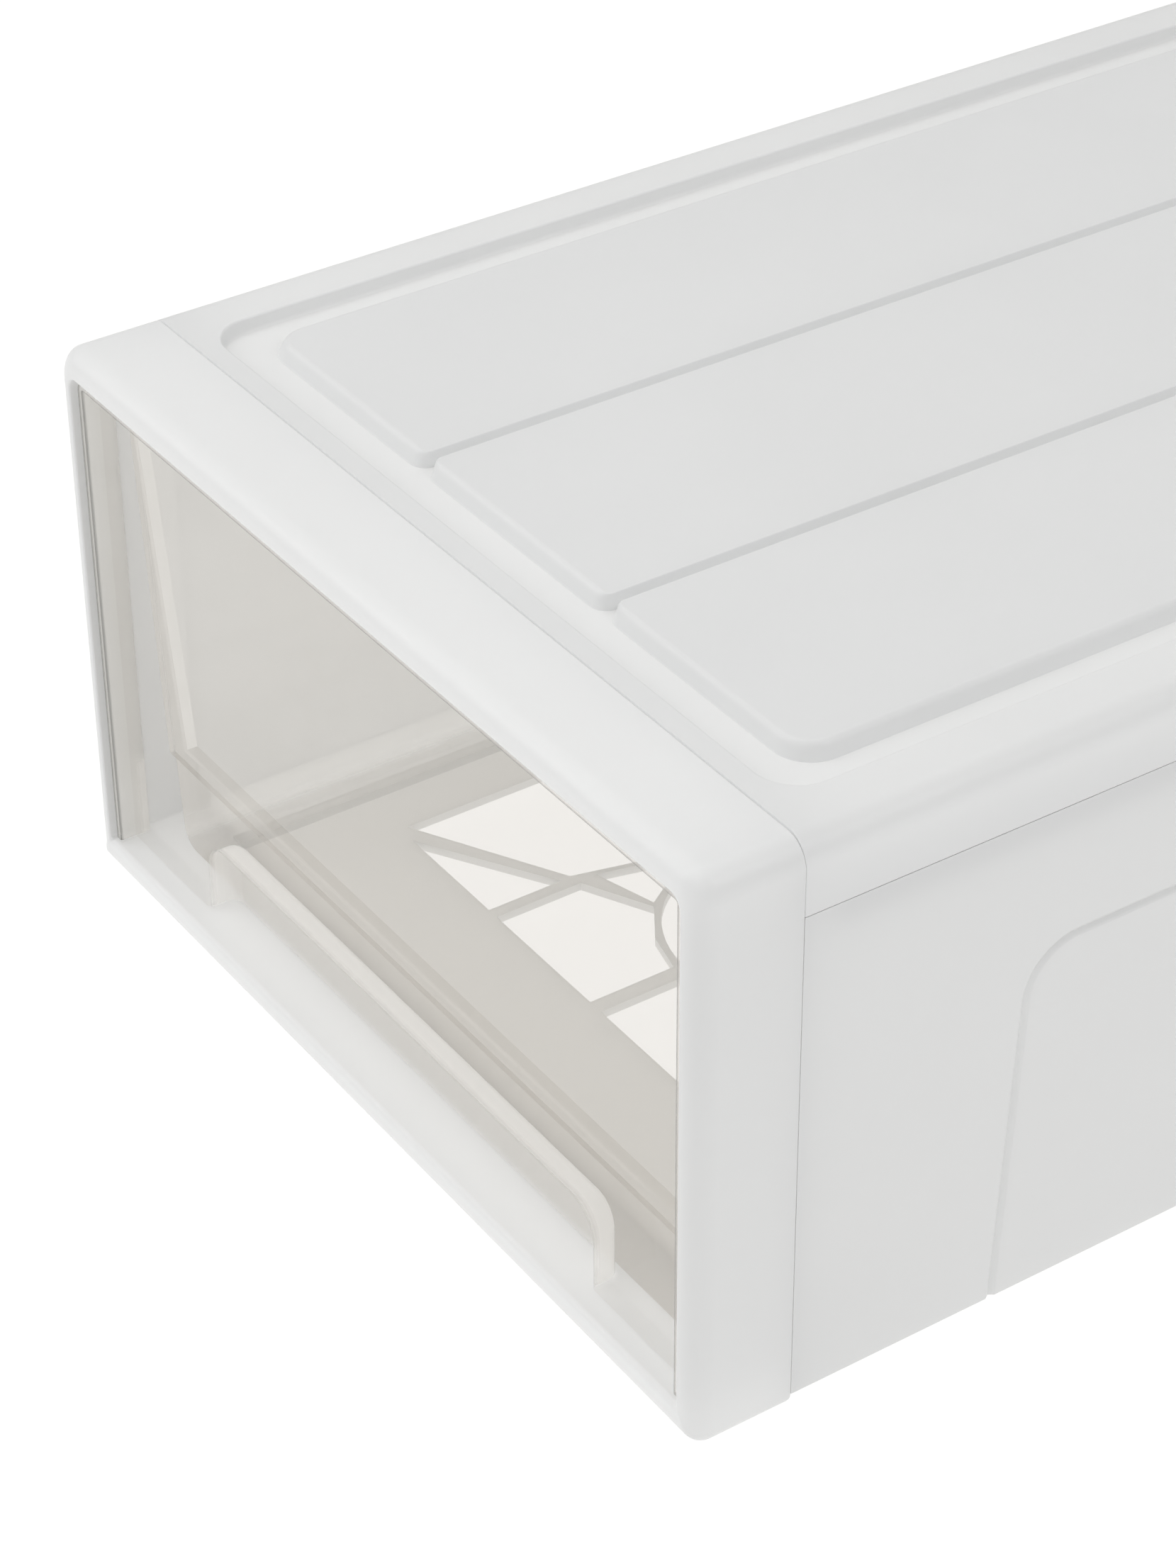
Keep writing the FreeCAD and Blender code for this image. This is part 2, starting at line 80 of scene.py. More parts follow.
# The side panels' arch, and the tongue behind the cover's skirt, as a section of (across, up)
ARCH_START = 70.5 * MM
ARCH_LEAN = 4.5 * MM
ARCH_TOP = 84.5 * MM
ARCH_ROUND = 12 * MM
# The fine groove that draws the arch: how far out from the arch's line, and how deep.
ARCH_GROOVE = [(1.1 * MM, 0), (0.6 * MM, 0.35 * MM), (0, 0.7 * MM), (-0.6 * MM, 0.35 * MM), (-1.1 * MM, 0)]
TONGUE_SECTION = [(HALF_WIDTH - 4.5 * MM, 110 * MM), (HALF_WIDTH - PANEL, 110 * MM),
                  (HALF_WIDTH - PANEL, 114.3 * MM), (HALF_WIDTH - 2.7 * MM, 114.3 * MM),
                  (HALF_WIDTH - 2.7 * MM, 120 * MM), (HALF_WIDTH - 4.5 * MM, 120 * MM)]
TONGUE_MARGIN = 7 * MM

# The cover's sunk tray, and the planks raised in it
RECESS_HALF = 101.2 * MM
RECESS_MARGIN = 5.4 * MM
RECESS_CORNER = 9 * MM
RECESS_DEPTH = 3.3 * MM
RIM_ROUND, HOLLOW_ROUND = 0.5 * MM, 0.8 * MM
PLANK_FIELD = 93.3 * MM
PLANK_MARGIN = 14.5 * MM
GROOVE_CENTRE = 31.7 * MM
GROOVE_HALF = 0.8 * MM
WIDE_CORNER, TIGHT_CORNER = 8 * MM, 3.5 * MM

# The drawer front: its border, its plate and its finger pull
FRONT_LOW, FRONT_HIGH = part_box("drawer_front")
FRONT_HALF, FRONT_BASE, FRONT_TOP = FRONT_HIGH.x, FRONT_LOW.z, FRONT_HIGH.z
FRONT_CORNER = 2.5 * MM
BORDER, BORDER_BEND, BORDER_DEPTH = 2 * MM, 0.5 * MM, 7.3 * MM
PLATE_FACE = FRONT_LOW.y + 3.8 * MM
PULL_HALF, PULL_TOP, PULL_CORNER = 74 * MM, 25.9 * MM, 7.5 * MM
PULL_BACK = FRONT_HIGH.y - 0.8 * MM

# The drawer's tray, and the window in its front wall
TRAY_LOW, TRAY_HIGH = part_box("drawer_tray")
TRAY_BASE_HALF, TRAY_TOP_HALF = 98 * MM, 107.8 * MM
TRAY_BEND = 4.8 * MM
WINDOW_BASE_HALF, WINDOW_TOP_HALF, WINDOW_BASE = 92.6 * MM, 106.3 * MM, 35.9 * MM


# ---------------------------------------------------------------- shapes

class Shape:
    """Vertices and faces gathered ring by ring."""

    def __init__(self):
        self.vertices = []
        self.faces = []

    def ring(self, points):
        first = len(self.vertices)
        self.vertices.extend(points)
        return list(range(first, first + len(points)))

    def bridge(self, lower, upper):
        """Quads between two closed rings with as many points each."""
        count = len(lower)
        for i in range(count):
            following = (i + 1) % count
            self.faces.append((lower[i], lower[following], upper[following], upper[i]))

    def loft(self, rings, closed=False):
        """Bridges rings in turn, and the last one to the first when closed."""
        made = [self.ring(points) for points in rings]
        for lower, upper in zip(made, made[1:]):
            self.bridge(lower, upper)
        if closed:
            self.bridge(made[-1], made[0])
        return made

    def strip(self, lower, upper):
        """Quads between two open rows with as many points each."""
        for i in range(len(lower) - 1):
            self.faces.append((lower[i], lower[i + 1], upper[i + 1], upper[i]))

    def sheet(self, rows, closed=False):
        """Joins open rows in turn, and the last one to the first when closed."""
        made = [self.ring(points) for points in rows]
        for lower, upper in zip(made, made[1:]):
            self.strip(lower, upper)
        if closed:
            self.strip(made[-1], made[0])
        return made

    def cap(self, ring):
        self.faces.append(tuple(ring))


def arc(start, end, steps=ARC_STEPS):
    """Angles in degrees from start to end, turned to radians."""
    return [math.radians(start + (end - start) * i / steps) for i in range(steps + 1)]


def rounded_outline(low, high, radii):
    """A rounded rectangle, anticlockwise, as (point, outward normal) pairs.

    low and high are opposite corners. radii goes with the corners low right, high right, high left, low left.
    """
    corners = [
        (high[0], low[1], -1, 1, -90),
        (high[0], high[1], -1, -1, 0),
        (low[0], high[1], 1, -1, 90),
        (low[0], low[1], 1, 1, 180),
    ]
    points = []
    for (across, up, inward_x, inward_y, start), radius in zip(corners, radii):
        centre = Vector((across + inward_x * radius, up + inward_y * radius))
        for angle in arc(start, start + 90):
            normal = Vector((math.cos(angle), math.sin(angle)))
            points.append((centre + normal * radius, normal))
    return points


def blend(a, b, share):
    return a + (b - a) * share


def build(name, shapes):
    """One mesh object from shapes, smooth except at sharp edges, with flats kept flat."""
    sharp_angle = math.radians(40)
    same_place = 0.001 * MM
    mesh = bpy.data.meshes.new(name)
    work = bmesh.new()
    for shape in shapes:
        made = [work.verts.new(point) for point in shape.vertices]
        for face in shape.faces:
            work.faces.new([made[i] for i in face])
    bmesh.ops.remove_doubles(work, verts=work.verts, dist=same_place)
    bmesh.ops.recalc_face_normals(work, faces=work.faces)
    for face in work.faces:
        face.smooth = True
    for edge in work.edges:
        edge.smooth = len(edge.link_faces) != 2 or edge.calc_face_angle() < sharp_angle
    work.to_mesh(mesh)
    work.free()
    piece = bpy.data.objects.new(name, mesh)
    bpy.context.scene.collection.objects.link(piece)
    normals = piece.modifiers.new("flat_faces_stay_flat", "WEIGHTED_NORMAL")
    normals.keep_sharp = True
    return piece


def install(piece, node, body, material):
    """Puts a finished piece in a CAD node's place."""
    piece.data.materials.append(material)
    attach(piece, body)
    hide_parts(node)
    return piece


# ---------------------------------------------------------------- case

def end_frame_rings(front, back):
    """Rings of a rounded frame, by part: its back edge, its nose, the opening's lip and its inner back.

    front and back are places along Y. The lower bar is thicker and less rounded than the rest.
    """
    foot_corner, opening_corner, sill_corner = 2 * MM, 3 * MM, 0.6 * MM
    nose, low_nose, lip = 5 * MM, 3.8 * MM, 0.5 * MM
    side = HALF_WIDTH - FRAME_WALL
    outer = rounded_outline((-HALF_WIDTH, 0), (HALF_WIDTH, TOP),
                            (foot_corner, CASE_ROUND, CASE_ROUND, foot_corner))
    inner = rounded_outline((-side, SILL), (side, TOP - FRAME_WALL),
                            (sill_corner, opening_corner, opening_corner, sill_corner))
    reach = 1 if back > front else -1

    def ring(part, angle):
        points = []
        for (outside, normal), (inside, _) in zip(outer, inner):
            low_share = max(0, -normal.y) ** 2
            wall = blend(FRAME_WALL, SILL, low_share)
            if part == "outer_back":
                radius = blend(SEAM_ROUND, FOOT_ROUND, low_share)
                inset = radius * (1 - math.sin(angle))
                along = back - reach * radius * (1 - math.cos(angle))
            elif part == "nose":
                radius = blend(nose, low_nose, low_share)
                inset = radius * (1 - math.cos(angle))
                along = front + reach * radius * (1 - math.sin(angle))
            elif part == "lip":
                radius = blend(lip, SILL_ROUND, low_share)
                inset = wall - radius * (1 - math.sin(angle))
                along = front + reach * radius * (1 - math.cos(angle))
            else:
                inset = wall
                along = back
            place = blend(outside, inside, inset / wall)
            points.append((place.x, along, place.y))
        return points

    parts = [("outer_back", arc(0, 90, 4)), ("nose", arc(0, 90)), ("lip", arc(0, 90, 5)), ("inner_back", [0])]
    return [[ring(part, angle) for angle in angles] for part, angles in parts]


def make_front_frame(material):
    body = Shape()
    outer_back, nose, lip, inner_back = end_frame_rings(FRAME_LOW.y, FRAME_HIGH.y)
    body.loft([*outer_back, *nose, *lip, *inner_back], closed=True)
    return install(build("front_frame_shell", [body]), "front_frame", "case", material)


def make_rear_panel(material):
    """The rear end: the same nose as the front frame's, closed by a flat wall."""
    body = Shape()
    outer_back, nose, _, (inner,) = end_frame_rings(REAR_HIGH.y, REAR_LOW.y)
    outside = body.loft([*outer_back, *nose])
    body.cap(outside[-1])
    wall = [(across, REAR_HIGH.y - PANEL, up) for across, _, up in inner]
    inside = body.loft([inner, wall])
    body.cap(inside[-1])
    body.bridge(inside[0], outside[0])
    return install(build("rear_panel_shell", [body]), "rear_panel", "case", material)


def flat_ring(low, high, radius, height):
    """A rounded rectangle seen from above, at one height."""
    return [(point.x, point.y, height) for point, _ in rounded_outline(low, high, (radius,) * 4)]


def inset_ring(low, high, radius, inset, height):
    """A ring whose outline stands in by inset on every side."""
    low = (low[0] + inset, low[1] + inset)
    high = (high[0] - inset, high[1] - inset)
    return flat_ring(low, high, max(radius - inset, SMALLEST_ROUND), height)


def cover_shell():
    """The cover's skirt, rounded long edges, flat rim and sunk tray."""
    corner, roof, shelf = 0.3 * MM, 5.8 * MM, 20 * MM
    inside = HALF_WIDTH - PANEL

    def level(half, end_inset, height):
        return flat_ring((-half, COVER_LOW.y + end_inset), (half, COVER_HIGH.y - end_inset), corner, height)

    rings = [level(inside - shelf, PANEL, TOP - roof), level(inside, PANEL, TOP - roof),
             level(inside, PANEL, COVER_LOW.z)]
    for angle in arc(90, 0, 4):
        half = HALF_WIDTH - SEAM_ROUND * (1 - math.cos(angle))
        rings.append(level(half, 0, COVER_LOW.z + SEAM_ROUND * (1 - math.sin(angle))))
    for angle in arc(0, 90):
        half = HALF_WIDTH - CASE_ROUND * (1 - math.cos(angle))
        height = TOP - CASE_ROUND * (1 - math.sin(angle))
        rings.append(level(half, SEAM_ROUND * (1 - math.cos(angle)), height))

    low = (-RECESS_HALF, COVER_LOW.y + RECESS_MARGIN)
    high = (RECESS_HALF, COVER_HIGH.y - RECESS_MARGIN)
    for angle in arc(0, 90, 5):
        rings.append(inset_ring(low, high, RECESS_CORNER, -RIM_ROUND * (1 - math.sin(angle)),
                                TOP - RIM_ROUND * (1 - math.cos(angle))))
    for angle in arc(0, 90, 5):
        rings.append(inset_ring(low, high, RECESS_CORNER, HOLLOW_ROUND * (1 - math.cos(angle)),
                                TOP - RECESS_DEPTH + HOLLOW_ROUND * (1 - math.sin(angle))))
    shape = Shape()
    made = shape.loft(rings)
    shape.cap(made[0])
    shape.cap(made[-1])
    return shape


def plank_wall():
    """A plank's wall, from its foot up, as (inset, rise): it leans, then bends softly into the flat top."""
    root, steps = 0.3 * MM, 6
    bend_start = (0.9 * MM, 1.8 * MM)
    bend_corner, bend_end = (1.65 * MM, RECESS_DEPTH), (2.6 * MM, RECESS_DEPTH)
    wall = [(0, -root), (0, 0)]
    for i in range(steps + 1):
        share = i / steps
        wall.append([blend(blend(start, corner, share), blend(corner, end, share), share)
                     for start, corner, end in zip(bend_start, bend_corner, bend_end)])
    return wall


def plank(left, right, corner_left, corner_right):
    """One raised plank. A side with a tight corner faces a groove, and its wall is steeper."""
    steeper = 0.3
    outline = rounded_outline((left, COVER_LOW.y + PLANK_MARGIN), (right, COVER_HIGH.y - PLANK_MARGIN),
                              (corner_right, corner_right, corner_left, corner_left))
    rings = []
    for inset, rise in plank_wall():
        ring = []
        for point, normal in outline:
            corner = corner_right if normal.x > 0 else corner_left
            steep = normal.x ** 2 if corner == TIGHT_CORNER else 0
            place = point - normal * inset * blend(1, steeper, steep)
            ring.append((place.x, place.y, TOP - RECESS_DEPTH + rise))
        rings.append(ring)
    shape = Shape()
    made = shape.loft(rings)
    shape.cap(made[0])
    shape.cap(made[-1])
    return shape


def make_top_cover(material):
    inner = GROOVE_CENTRE - GROOVE_HALF
    outer = GROOVE_CENTRE + GROOVE_HALF
    shapes = [
        cover_shell(),
        plank(-PLANK_FIELD, -outer, WIDE_CORNER, TIGHT_CORNER),
        plank(-inner, inner, TIGHT_CORNER, TIGHT_CORNER),
        plank(outer, PLANK_FIELD, TIGHT_CORNER, WIDE_CORNER),
    ]
    return install(build("top_cover_shell", shapes), "top_cover", "case", material)


def arch_outline(offset):
    """The arch on a side panel, from its front foot to its rear one, as (along, up). offset widens it."""
    start = BOX_LOW.y + ARCH_START - offset
    top = ARCH_TOP + offset
    radius = ARCH_ROUND + offset
    slant = math.degrees(math.atan2(ARCH_LEAN, top - SIDE_LOW.z))
    centre = start + ARCH_LEAN + radius * math.tan(math.radians(90 - slant) / 2)
    front = [(start, SIDE_LOW.z)]
    front += [(centre + radius * math.cos(angle), top - radius + radius * math.sin(angle))
              for angle in arc(180 - slant, 90)]
    return front + [(-along, up) for along, up in reversed(front)]


def make_side_panel(side, node, material):
    """One side panel. side is 1 at +X and -1 at -X."""
    shape = Shape()
    arches = [shape.ring([(side * (HALF_WIDTH - depth), along, up) for along, up in arch_outline(offset)])
              for offset, depth in ARCH_GROOVE]
    for upper, lower in zip(arches, arches[1:]):
        shape.strip(upper, lower)
    shape.cap(arches[-1])

    corners = [(SIDE_HIGH.y, SIDE_LOW.z), (SIDE_HIGH.y, COVER_LOW.z), (SIDE_LOW.y, COVER_LOW.z),
               (SIDE_LOW.y, SIDE_LOW.z)]
    face = shape.ring([(side * HALF_WIDTH, along, up) for along, up in corners])
    shape.faces.append((*arches[0], *face))
    front_feet = [arch[0] for arch in arches]
    rear_feet = [arch[-1] for arch in reversed(arches)]
    rim = [face[3], *front_feet, *rear_feet, *face[:3]]
    inside = side * (HALF_WIDTH - PANEL)
    back = shape.ring([(inside, shape.vertices[i][1], shape.vertices[i][2]) for i in rim])
    shape.bridge(rim, back)
    shape.cap(back)

    tongue = Shape()
    ends = [[(side * across, along, up) for across, up in TONGUE_SECTION]
            for along in (SIDE_LOW.y + TONGUE_MARGIN, SIDE_HIGH.y - TONGUE_MARGIN)]
    first, last = tongue.loft(ends)
    tongue.cap(first)
    tongue.cap(last)
    return install(build(node + "_shell", [shape, tongue]), node, "case", material)


# ---------------------------------------------------------------- drawer

def hoop(half, base, top, radius, offset=0):
    """A path up one side, over the top and down the other, as (across, up). offset widens it."""
    half, top, radius = half + offset, top + offset, max(radius + offset, SMALLEST_ROUND)
    right = [(half - radius + radius * math.cos(angle), top - radius + radius * math.sin(angle))
             for angle in arc(0, 90)]
    path = [(half, base), *right]
    return path + [(-across, up) for across, up in reversed(path)]


def upright(path, along):
    """Stands a flat path of (across, up) at one place along the box."""
    return [(across, along, up) for across, up in path]


def make_border():
    """The border that stands proud of the drawer front on three sides, with rounded front edges."""
    section = [(0, BORDER_DEPTH)]
    section += [(BORDER_BEND * (1 - math.cos(angle)), BORDER_BEND * (1 - math.sin(angle)))
                for angle in arc(0, 90, 3)]
    section += [(BORDER - BORDER_BEND * (1 - math.sin(angle)), BORDER_BEND * (1 - math.cos(angle)))
                for angle in arc(0, 90, 3)]
    section.append((BORDER, BORDER_DEPTH))
    rows = [upright(hoop(FRONT_HALF, FRONT_BASE, FRONT_TOP, FRONT_CORNER, -inset), FRONT_LOW.y + along)
            for inset, along in section]
    shape = Shape()
    made = shape.sheet(rows, closed=True)
    for end in (0, -1):
        shape.cap([row[end] for row in made])
    return shape


def make_plate_and_pull():
    """The drawer front's clear plate, which turns inwards at the mouth of its finger pull."""
    mouth_round, back_round = 1.2 * MM, 3 * MM
    profile = [(mouth_round * (1 - math.sin(angle)), PLATE_FACE + mouth_round * (1 - math.cos(angle)))
               for angle in arc(0, 90, 6)]
    profile += [(-back_round * (1 - math.cos(angle)), PULL_BACK - back_round * (1 - math.sin(angle)))
                for angle in arc(0, 90, 6)]
    shape = Shape()
    made = shape.sheet([upright(hoop(PULL_HALF, FRONT_BASE, PULL_TOP, PULL_CORNER, offset), along)
                        for offset, along in profile])
    shape.cap(made[-1])
    edge = shape.ring(upright(hoop(FRONT_HALF, FRONT_BASE, FRONT_TOP, FRONT_CORNER, -BORDER), PLATE_FACE))
    shape.cap([*edge, *reversed(made[0])])
    return shape


def make_drawer_front(material):
    shell = build("drawer_front_shell", [make_border(), make_plate_and_pull()])
    return install(shell, "drawer_front", "drawer", material)


def tray_path():
    """The tray seen from the front: its right lip, then its sides and floor, and then its left lip."""
    lip_drop = 2.5 * MM
    slant = math.degrees(math.atan2(TRAY_TOP_HALF - TRAY_BASE_HALF, TRAY_HIGH.z - TRAY_LOW.z))
    right_lip = [(TRAY_HIGH.x, TRAY_HIGH.z - lip_drop), (TRAY_HIGH.x, TRAY_HIGH.z)]
    side = [(TRAY_TOP_HALF, TRAY_HIGH.z)]
    side += [(TRAY_BASE_HALF - TRAY_BEND + TRAY_BEND * math.cos(angle),
              TRAY_LOW.z + TRAY_BEND + TRAY_BEND * math.sin(angle)) for angle in arc(-slant, -90)]
    mirrored = [(-across, up) for across, up in reversed(side)]
    left_lip = [(-across, up) for across, up in reversed(right_lip)]
    return right_lip, side + mirrored, left_lip


def window_path(grow):
    """The window's edge, down one side and up the other. grow widens it."""
    top, base, floor = WINDOW_TOP_HALF + grow, WINDOW_BASE_HALF + grow, WINDOW_BASE - grow
    return [(top, TRAY_HIGH.z), (base, floor), (-base, floor), (-top, TRAY_HIGH.z)]


def make_drawer_tray(material):
    """The clear tray, as thin sheets: floor and sides, rear wall, and a front wall cut down to a window."""
    rim_width, rim_depth, edge_round, edge_depth = 4.7 * MM, 1.2 * MM, 0.5 * MM, 3 * MM
    rim_front, front, rear = TRAY_LOW.y, TRAY_LOW.y + rim_depth, TRAY_HIGH.y
    right_lip, body, left_lip = tray_path()
    shape = Shape()
    shape.sheet([upright([*right_lip, *body, *left_lip], along) for along in (front, rear)])
    shape.cap(shape.ring(upright(body, rear)))

    rim_base = WINDOW_BASE - rim_width
    rim_half = blend(TRAY_BASE_HALF, TRAY_TOP_HALF, (rim_base - TRAY_LOW.z) / (TRAY_HIGH.z - TRAY_LOW.z))
    rim = [(TRAY_TOP_HALF, TRAY_HIGH.z), (rim_half, rim_base),
           (-rim_half, rim_base), (-TRAY_TOP_HALF, TRAY_HIGH.z)]
    rows = [(rim, front), (rim, rim_front), (window_path(edge_round), rim_front),
            (window_path(0), rim_front + edge_round), (window_path(0), rim_front + edge_depth)]
    made = shape.sheet([upright(path, along) for path, along in rows])
    below = [point for point in body if point[1] < rim_base]
    shape.cap([made[0][1], *shape.ring(upright(below, front)), made[0][2]])
    return install(build("drawer_tray_shell", [shape]), "drawer_tray", "drawer", material)


# ---------------------------------------------------------------- materials

def new_material(name):
    material = bpy.data.materials.new(name)
    material.use_nodes = True
    tree = material.node_tree
    return material, tree, tree.nodes["Principled BSDF"]


def add_noise(tree, scale, detail):
    """A noise texture laid out in the object's own metres."""
    coordinates = tree.nodes.new("ShaderNodeTexCoord")
    noise = tree.nodes.new("ShaderNodeTexNoise")
    noise.inputs["Scale"].default_value = scale
    noise.inputs["Detail"].default_value = detail
    noise.inputs["Roughness"].default_value = 0.5
    tree.links.new(coordinates.outputs["Object"], noise.inputs["Vector"])
    return noise.outputs["Fac"]


def add_range(tree, source, low, high, start=0.3, end=0.7):
    """Runs from low to high while the source runs from start to end."""
    node = tree.nodes.new("ShaderNodeMapRange")
    node.inputs["From Min"].default_value = start
    node.inputs["From Max"].default_value = end
    node.inputs["To Min"].default_value = low
    node.inputs["To Max"].default_value = high
    tree.links.new(source, node.inputs["Value"])
    return node.outputs["Result"]


def add_colours(tree, source, first, second):
    """Runs a value from one colour to another."""
    node = tree.nodes.new("ShaderNodeMix")
    node.data_type = "RGBA"
    node.inputs["A"].default_value = (*first, 1)
    node.inputs["B"].default_value = (*second, 1)
    tree.links.new(source, node.inputs["Factor"])
    return node.outputs["Result"]


def add_bump(tree, source, strength, distance):
    node = tree.nodes.new("ShaderNodeBump")
    node.inputs["Strength"].default_value = strength
    node.inputs["Distance"].default_value = distance
    tree.links.new(source, node.inputs["Height"])
    return node.outputs["Normal"]


def add_facing(tree):
    """0 where the surface is seen square on, and 1 where it is seen edge on."""
    facing = tree.nodes.new("ShaderNodeLayerWeight")
    facing.inputs["Blend"].default_value = 0.5
    return facing.outputs["Facing"]


def add_math(tree, operation, *values):
    """One step of arithmetic on numbers or other nodes' outputs."""
    node = tree.nodes.new("ShaderNodeMath")
    node.operation = operation
    for socket, value in zip(node.inputs, values):
        if isinstance(value, (int, float)):
            socket.default_value = value
        else:
            tree.links.new(value, socket)
    return node.outputs["Value"]


def add_glancing(tree):
    """How much a clear surface reflects: little when seen square on, rising to 1 at a low angle."""
    head_on = 0.05
    return add_math(tree, "MULTIPLY_ADD", add_math(tree, "POWER", add_facing(tree), 5), 1 - head_on, head_on)


def add_axis(tree, kind, axis):
    """One axis of an object's own places ("Object") or directions ("Normal")."""
    coordinates = tree.nodes.new("ShaderNodeTexCoord")
    split = tree.nodes.new("ShaderNodeSeparateXYZ")
    tree.links.new(coordinates.outputs[kind], split.inputs["Vector"])
    return split.outputs[axis]


def add_side_share(tree, axis, start, end):
    """Runs from 0 to 1 while how far a surface faces along an axis, either way, runs from start to end."""
    return add_range(tree, add_math(tree, "ABSOLUTE", add_axis(tree, "Normal", axis)), 0, 1, start, end)


def add_mix(tree, share, first, second):
    """first where share is 0, and second where it is 1."""
    mix = tree.nodes.new("ShaderNodeMixShader")
    tree.links.new(share, mix.inputs["Fac"])
    tree.links.new(first, mix.inputs[1])
    tree.links.new(second, mix.inputs[2])
    return mix.outputs["Shader"]


def make_white_plastic(name, upright_glow, flat_glow):
    """Moulded white plastic: satin, with a fine skin and faint flow clouds, and thin enough to glow a little.

    upright_glow and flat_glow are how much of the light passes through its upright and its flat walls.
    """
    material, tree, surface = new_material(name)
    clouds = add_range(tree, add_noise(tree, 14, 3), 0, 1)
    colour = add_colours(tree, clouds, (0.914, 0.92, 0.922), (0.934, 0.94, 0.942))
    tree.links.new(colour, surface.inputs["Base Color"])
    tree.links.new(add_range(tree, add_noise(tree, 60, 4), 0.3, 0.38), surface.inputs["Roughness"])
    tree.links.new(add_bump(tree, add_noise(tree, 700, 2), 0.06, 0.2 * MM), surface.inputs["Normal"])
    surface.inputs["IOR"].default_value = 1.49
    surface.inputs["Specular IOR Level"].default_value = 0.45
    glow = tree.nodes.new("ShaderNodeBsdfTranslucent")
    glow.inputs["Color"].default_value = (0.97, 0.965, 0.95, 1)
    share = add_range(tree, add_side_share(tree, "Z", 0.3, 0.95), upright_glow, flat_glow, 0, 1)
    skin = add_mix(tree, share, surface.outputs["BSDF"], glow.outputs["BSDF"])
    tree.links.new(skin, tree.nodes["Material Output"].inputs["Surface"])
    return material


def finish_clear_plastic(tree, tint, first, second, milk, painted_glow_strength):
    """Clear moulded plastic: thin, slightly hazy, and mirror-like at a low angle.

    Where tint is 0 it lets through the first colour, where tint is 1 the second. milk is how milky it is. The
    last
    argument sets a painted glow: the milky parts give off light of their own, though they are no lamp.
    """
    milk_colour = (0.96, 0.95, 0.93, 1)
    surface = tree.nodes["Principled BSDF"]
    surface.inputs["Base Color"].default_value = milk_colour
    surface.inputs["Roughness"].default_value = 0.35
    # Painted glow: the milky parts emit this warm white light, though they are no lamp.
    surface.inputs["Emission Color"].default_value = (0.97, 0.955, 0.93, 1)
    surface.inputs["Emission Strength"].default_value = painted_glow_strength
    glow = tree.nodes.new("ShaderNodeBsdfTranslucent")
    glow.inputs["Color"].default_value = milk_colour
    milky = tree.nodes.new("ShaderNodeMixShader")
    tree.links.new(surface.outputs["BSDF"], milky.inputs[1])
    tree.links.new(glow.outputs["BSDF"], milky.inputs[2])

    clear = tree.nodes.new("ShaderNodeBsdfTransparent")
    tree.links.new(add_colours(tree, tint, first, second), clear.inputs["Color"])
    haze = add_range(tree, add_noise(tree, 40, 3), 0.02, 0.035)
    body = add_mix(tree, add_math(tree, "ADD", milk, haze), clear.outputs["BSDF"], milky.outputs["Shader"])
    gloss = tree.nodes.new("ShaderNodeBsdfGlossy")
    gloss.inputs["Roughness"].default_value = 0.08
    skin = add_mix(tree, add_glancing(tree), body, gloss.outputs["BSDF"])
    tree.links.new(skin, tree.nodes["Material Output"].inputs["Surface"])


def make_front_plastic():
    """The drawer front: clear, with a milky finger pull, a painted glow in its milky parts, and a painted
    line of shade where its border bends round.
    """
    # The second colour is painted shade: it is laid into the border's bend to stand in for the shadowed gap
    # behind it.
    clear, painted_shade_colour = (0.985, 0.98, 0.972), (0.5, 0.5, 0.49)
    # The last value is the strength of the painted glow in the milky parts.
    border_tint, border_milk, pull_milk, painted_glow_strength = 0.03, 0.3, 0.6, 0.25
    material, tree, _ = new_material("clear_front_plastic")
    narrow = add_side_share(tree, "Y", 0.6, 0.2)
    along = add_axis(tree, "Object", "Y")
    at_front = add_range(tree, along, 1, 0, FRONT_LOW.y + BORDER_BEND, FRONT_LOW.y + BORDER_BEND + 0.2 * MM)
    # Painted shade: the border's rounded bend is tinted towards the shade colour.
    painted_shade_mask = add_math(tree, "MULTIPLY", at_front, add_side_share(tree, "Y", 0.98, 0.8))
    tint = add_math(tree, "MAXIMUM", painted_shade_mask, add_math(tree, "MULTIPLY", narrow, border_tint))
    behind = add_range(tree, along, 0, pull_milk, PLATE_FACE + 0.5 * MM, PLATE_FACE + 2.2 * MM)
    low = add_range(tree, add_axis(tree, "Object", "Z"), 1, 0, PULL_TOP + 0.5 * MM, PULL_TOP + 2 * MM)
    pull = add_math(tree, "MULTIPLY", behind, low)
    milk = add_math(tree, "MAXIMUM", pull, add_math(tree, "MULTIPLY", narrow, border_milk))
    finish_clear_plastic(tree, tint, clear, painted_shade_colour, milk, painted_glow_strength)
    return material


def make_tray_plastic():
    """The tray: clear, with frosted sides that carry a painted glow."""
    clear, frosted = (0.905, 0.89, 0.87), (0.985, 0.98, 0.97)
    # The second value is the strength of the painted glow in the frosted sides.
    side_milk, painted_glow_strength = 0.5, 0.42
    material, tree, _ = new_material("frosted_tray_plastic")
    sides = add_side_share(tree, "X", 0.6, 0.95)
    finish_clear_plastic(tree, sides, clear, frosted, add_math(tree, "MULTIPLY", sides, side_milk), painted_glow_strength)
    return material


def finish_node(node, material):
    """Gives a CAD node that keeps its own shape a finished material."""
    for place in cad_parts[node].material_slots:
        place.material = material


# ---------------------------------------------------------------- studio

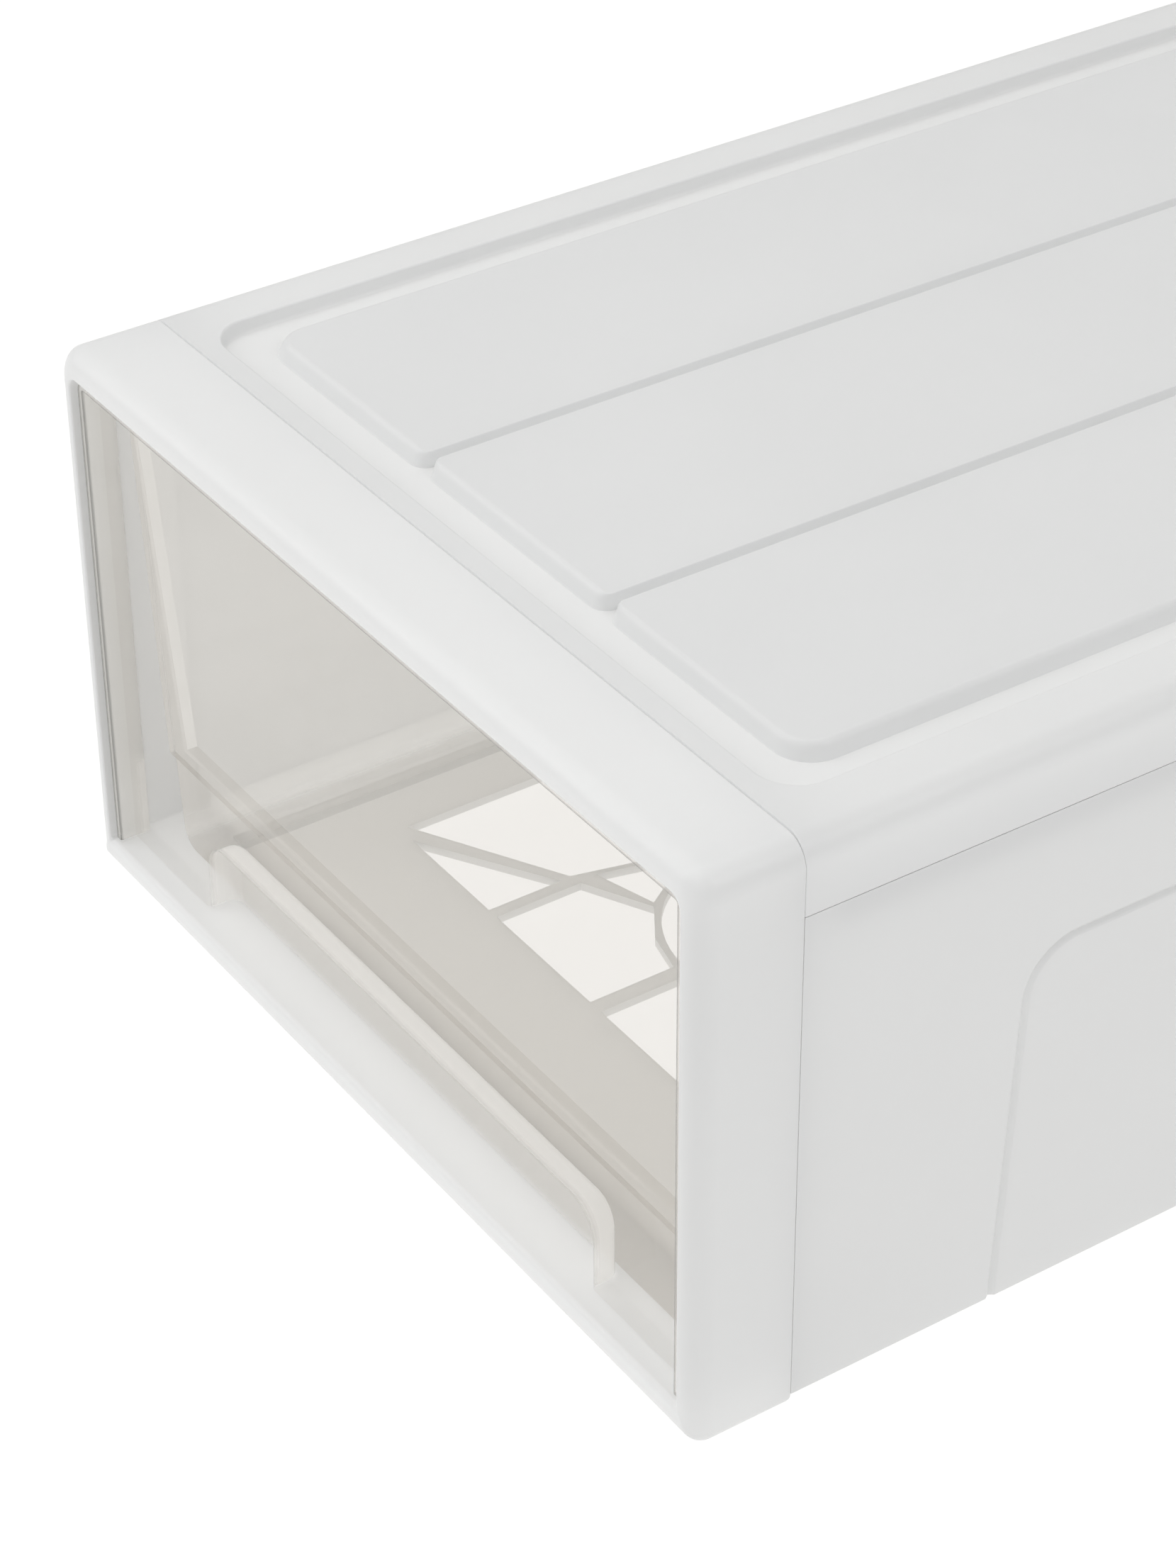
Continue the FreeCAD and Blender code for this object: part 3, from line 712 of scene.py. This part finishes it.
def make_floor():
    """A plain floor that glows nearly white, as a light table does."""
    material, _, surface = new_material("light_table")
    surface.inputs["Base Color"].default_value = (0.12, 0.12, 0.12, 1)
    surface.inputs["Roughness"].default_value = 0.9
    surface.inputs["Specular IOR Level"].default_value = 0
    surface.inputs["Emission Color"].default_value = (1, 0.995, 0.985, 1)
    surface.inputs["Emission Strength"].default_value = 0.95
    reach = 6
    shape = Shape()
    shape.cap(shape.ring([(-reach, -reach, 0), (reach, -reach, 0), (reach, reach, 0), (-reach, reach, 0)]))
    floor = build("floor", [shape])
    floor.data.materials.append(material)


def make_world(strength):
    """Even white light from all round."""
    world = bpy.data.worlds.new("studio")
    world.use_nodes = True
    background = world.node_tree.nodes["Background"]
    background.inputs["Color"].default_value = (1, 1, 1, 1)
    background.inputs["Strength"].default_value = strength
    bpy.context.scene.world = world


def make_softbox(name, place, aim, size, power):
    """A rectangular light that faces aim. power is in watts."""
    light = bpy.data.lights.new(name, "AREA")
    light.shape = "RECTANGLE"
    light.size, light.size_y = size
    light.energy = power
    lamp = bpy.data.objects.new(name, light)
    lamp.location = place
    lamp.rotation_euler = (Vector(aim) - Vector(place)).to_track_quat("-Z", "Y").to_euler()
    bpy.context.scene.collection.objects.link(lamp)


def make_camera():
    """The camera looks down on the box's front right corner, from near enough to crop the rear of the box."""
    azimuth, elevation, roll = math.radians(56.23), math.radians(35.04), math.radians(-0.443)
    target = Vector((0.0162, -0.1260, 0.0771))
    distance = 0.8
    away = Vector((math.sin(azimuth) * math.cos(elevation), -math.cos(azimuth) * math.cos(elevation),
                   math.sin(elevation)))
    lens = bpy.data.cameras.new("camera")
    lens.lens = 93.5
    lens.sensor_width = 36
    lens.clip_start = 0.01
    camera = bpy.data.objects.new("camera", lens)
    camera.location = target + away * distance
    aimed = (-away).to_track_quat("-Z", "Y") @ Euler((0, 0, roll)).to_quaternion()
    camera.rotation_euler = aimed.to_euler()
    bpy.context.scene.collection.objects.link(camera)
    bpy.context.scene.camera = camera


def main():
    bpy.context.scene.view_settings.view_transform = "Standard"
    make_camera()
    white = make_white_plastic("moulded_white_plastic", 0.2, 0.32)
    make_front_frame(white)
    make_rear_panel(white)
    make_side_panel(-1, "left_side_panel", white)
    make_side_panel(1, "right_side_panel", white)
    make_top_cover(make_white_plastic("cover_white_plastic", 0.15, 0.34))
    finish_node("base_panel", make_white_plastic("base_white_plastic", 0.3, 0.6))
    make_drawer_front(make_front_plastic())
    make_drawer_tray(make_tray_plastic())
    make_floor()
    make_world(0.4)
    make_softbox("key", (-0.7, -0.95, 1.6), (0, -0.1, 0.06), (1.6, 1.6), 8)
    make_softbox("overhead", (-0.3, 0.1, 1.8), (0, 0, 0.06), (2, 2), 13)
    make_softbox("front_fill", (0.45, -1.25, 1.3), (0, -0.1, 0.05), (1.4, 0.9), 2)
    make_softbox("left_edge", (-1.25, -1.1, 0.9), (0, -0.1, 0.08), (0.7, 0.7), 2.5)
    make_softbox("right_edge", (1.1, 0.45, 1.3), (0, -0.1, 0.08), (0.7, 0.7), 4)
    bpy.context.view_layer.update()


main()
